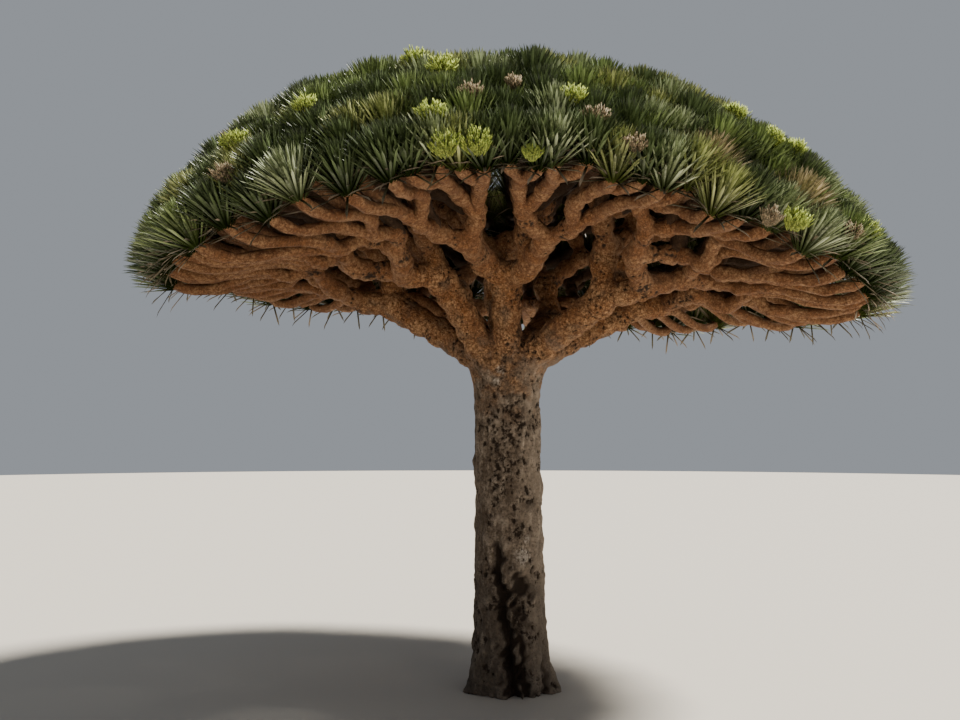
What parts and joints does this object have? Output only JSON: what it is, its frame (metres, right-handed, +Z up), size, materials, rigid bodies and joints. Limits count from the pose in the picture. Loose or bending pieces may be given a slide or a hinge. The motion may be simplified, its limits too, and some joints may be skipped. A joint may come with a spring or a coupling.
{
  "type": "dragon blood tree",
  "caption": "Umbrella-shaped tree: a bare tapering trunk forks once, and its boughs fork again and again up to a dome of sword-leaf tufts.",
  "frame": {"origin": "centre of the flat cut under the trunk, at ground level", "axes": "+Z up along the trunk, +X to the right and -Y towards the front, as the picture shows the tree"},
  "size_m": [8.162, 7.7929, 6.5222],
  "materials": {
    "trunk_bark": "rough grey-brown bark, pitted and cracked",
    "limb_bark": "warm orange-brown bark with dark pits",
    "foliage": "stiff, slightly glossy sword leaves"
  },
  "bodies": {
    "root": {"trunk": "trunk_bark", "bough_front": "limb_bark", "bough_front_a": "limb_bark", "bough_front_b": "limb_bark", "bough_front_right": "limb_bark", "bough_front_right_inner": "limb_bark", "bough_front_right_outer": "limb_bark", "bough_right": "limb_bark", "bough_right_inner": "limb_bark", "bough_right_outer": "limb_bark", "bough_back_right": "limb_bark", "bough_back_right_inner": "limb_bark", "bough_back_right_outer": "limb_bark", "bough_back_left": "limb_bark", "bough_back_left_inner": "limb_bark", "bough_back_left_outer": "limb_bark", "bough_left": "limb_bark", "bough_left_inner": "limb_bark", "bough_left_outer": "limb_bark", "bough_front_left": "limb_bark", "bough_front_left_inner": "limb_bark", "bough_front_left_outer": "limb_bark", "bough_apex": "limb_bark", "bough_apex_a": "limb_bark", "bough_apex_b": "limb_bark", "foliage_front_a_inner": "foliage", "foliage_front_a_outer": "foliage", "foliage_front_b_inner": "foliage", "foliage_front_b_outer": "foliage", "foliage_front_right_inner_a": "foliage", "foliage_front_right_inner_b": "foliage", "foliage_front_right_outer_a": "foliage", "foliage_front_right_outer_b": "foliage", "foliage_right_inner_a": "foliage", "foliage_right_inner_b": "foliage", "foliage_right_outer_a": "foliage", "foliage_right_outer_b": "foliage", "foliage_back_right_inner_a": "foliage", "foliage_back_right_inner_b": "foliage", "foliage_back_right_outer_a": "foliage", "foliage_back_right_outer_b": "foliage", "foliage_back_left_inner_a": "foliage", "foliage_back_left_inner_b": "foliage", "foliage_back_left_outer_a": "foliage", "foliage_back_left_outer_b": "foliage", "foliage_left_inner_a": "foliage", "foliage_left_inner_b": "foliage", "foliage_left_outer_a": "foliage", "foliage_left_outer_b": "foliage", "foliage_front_left_inner_a": "foliage", "foliage_front_left_inner_b": "foliage", "foliage_front_left_outer_a": "foliage", "foliage_front_left_outer_b": "foliage", "foliage_apex_a_a": "foliage", "foliage_apex_a_b": "foliage", "foliage_apex_b_a": "foliage", "foliage_apex_b_b": "foliage"}
  },
  "joints": []
}
